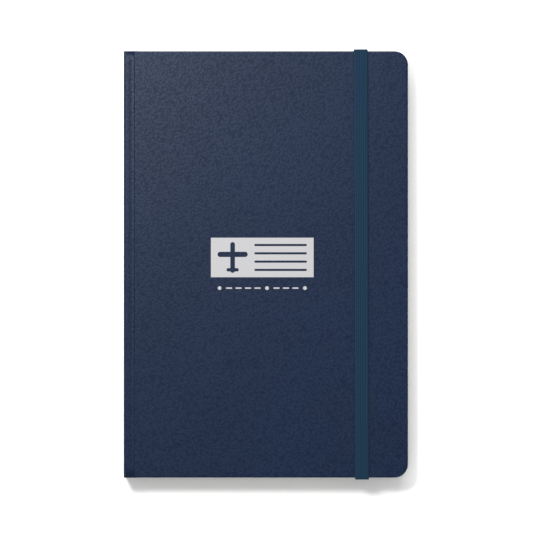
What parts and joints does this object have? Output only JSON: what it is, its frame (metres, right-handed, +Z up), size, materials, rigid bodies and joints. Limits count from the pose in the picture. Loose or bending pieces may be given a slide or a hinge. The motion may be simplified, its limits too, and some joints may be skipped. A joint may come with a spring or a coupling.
{
  "type": "pilot logbook",
  "caption": "Case-bound pilot logbook with hinged hard covers, sewn page sections, rear pocket and an elastic band closure.",
  "frame": {"origin": "middle of the underside, with the book lying on its back cover", "axes": "+X from the spine to the fore-edge, +Y to the head, +Z up through the front cover"},
  "size_m": [0.144, 0.2178, 0.0168],
  "materials": {
    "cover_paper": "satin",
    "board": "matte",
    "endpaper": "matte",
    "leaves": "matte",
    "pocket_card": "matte",
    "gusset_cloth": "matte",
    "elastic": "matte",
    "lining_cloth": "matte",
    "thread": "matte",
    "band_cloth": "matte",
    "ink": "matte"
  },
  "bodies": {
    "back_cover": {"back_board": "board", "back_cover_skin": "cover_paper", "back_joint_skin": "cover_paper", "back_pastedown": "endpaper", "pocket_flange": "pocket_card", "pocket_gusset_head": "gusset_cloth", "pocket_gusset_tail": "gusset_cloth", "elastic_tab_head": "elastic", "elastic_tab_tail": "elastic"},
    "text_block": {"section_4": "leaves", "section_5": "leaves", "section_6": "leaves", "section_7": "leaves", "section_8": "leaves", "back_flyleaf": "endpaper", "spine_lining": "lining_cloth", "sewing_thread": "thread", "head_band": "band_cloth", "tail_band": "band_cloth", "spine_board": "board", "spine_skin": "cover_paper"},
    "front_cover": {"front_board": "board", "front_cover_skin": "cover_paper", "front_pastedown": "endpaper", "cover_print": "ink"},
    "front_joint": {"front_joint_skin": "cover_paper"},
    "flyleaf": {"front_flyleaf": "endpaper"},
    "pages_1": {"section_1": "leaves"},
    "pages_2": {"section_2": "leaves"},
    "pages_3": {"section_3": "leaves"},
    "pocket": {"pocket_panel": "pocket_card"},
    "elastic_legs": {"elastic_leg_head": "elastic", "elastic_leg_tail": "elastic"},
    "elastic_run": {"elastic_run": "elastic"}
  },
  "joints": [
    {"name": "text_block_hinge", "type": "hinge", "parent": "back_cover", "child": "text_block", "pos_m": [-0.07, 0, 0.002], "axis": [0, 1, 0], "range_deg": [-90, 0], "deforming": ["back_joint_skin"]},
    {"name": "front_cover_hinge", "type": "hinge", "parent": "text_block", "child": "front_cover", "pos_m": [-0.07, 0, 0.0129], "axis": [0, -1, 0], "range_deg": [0, 184]},
    {"name": "front_joint_flex", "type": "hinge", "parent": "text_block", "child": "front_joint", "pos_m": [-0.07, 0, 0.0129], "axis": [0, -1, 0], "range_deg": [0, 178.49], "deforming": ["front_joint_skin"]},
    {"name": "flyleaf_turn", "type": "hinge", "parent": "text_block", "child": "flyleaf", "pos_m": [-0.07, 0, 0.0159], "axis": [0, -1, 0], "range_deg": [0, 178.49]},
    {"name": "pages_1_turn", "type": "hinge", "parent": "text_block", "child": "pages_1", "pos_m": [-0.07, 0, 0.0159], "axis": [0, -1, 0], "range_deg": [0, 175.73]},
    {"name": "pages_2_lift", "type": "hinge", "parent": "text_block", "child": "pages_2", "pos_m": [-0.07, 0, 0.0159], "axis": [0, -1, 0], "range_deg": [0, 5.53]},
    {"name": "pages_3_lift", "type": "hinge", "parent": "text_block", "child": "pages_3", "pos_m": [-0.07, 0, 0.0159], "axis": [0, -1, 0], "range_deg": [0, 2.22]},
    {"name": "pocket_opening", "type": "hinge", "parent": "back_cover", "child": "pocket", "pos_m": [0.062, 0, 0.0037], "axis": [0, 1, 0], "range_deg": [0, 7.01], "deforming": ["pocket_gusset_head", "pocket_gusset_tail"]},
    {"name": "elastic_settle", "type": "slide", "parent": "back_cover", "child": "elastic_legs", "axis": [0, 0, -1], "range_m": [0, 0.00966], "deforming": ["elastic_leg_head", "elastic_leg_tail"]},
    {"name": "elastic_release", "type": "slide", "parent": "elastic_legs", "child": "elastic_run", "axis": [0, 0, -1], "range_m": [0, 0.01686], "deforming": ["elastic_run"]}
  ],
  "couplings": [
    {"joint": "front_joint_flex", "follows": "front_cover_hinge", "ratio": 0.97},
    {"joint": "flyleaf_turn", "follows": "front_cover_hinge", "ratio": 0.97},
    {"joint": "pages_1_turn", "follows": "front_cover_hinge", "ratio": 0.955},
    {"joint": "pages_2_lift", "follows": "front_cover_hinge", "ratio": 0.03},
    {"joint": "pages_3_lift", "follows": "front_cover_hinge", "ratio": 0.012},
    {"joint": "pocket_opening", "follows": "text_block_hinge", "ratio": -0.077778},
    {"joint": "elastic_settle", "follows": "text_block_hinge", "m_per_rad": -0.0061434},
    {"joint": "elastic_release", "follows": "front_cover_hinge", "m_per_rad": 0.0052469}
  ]
}
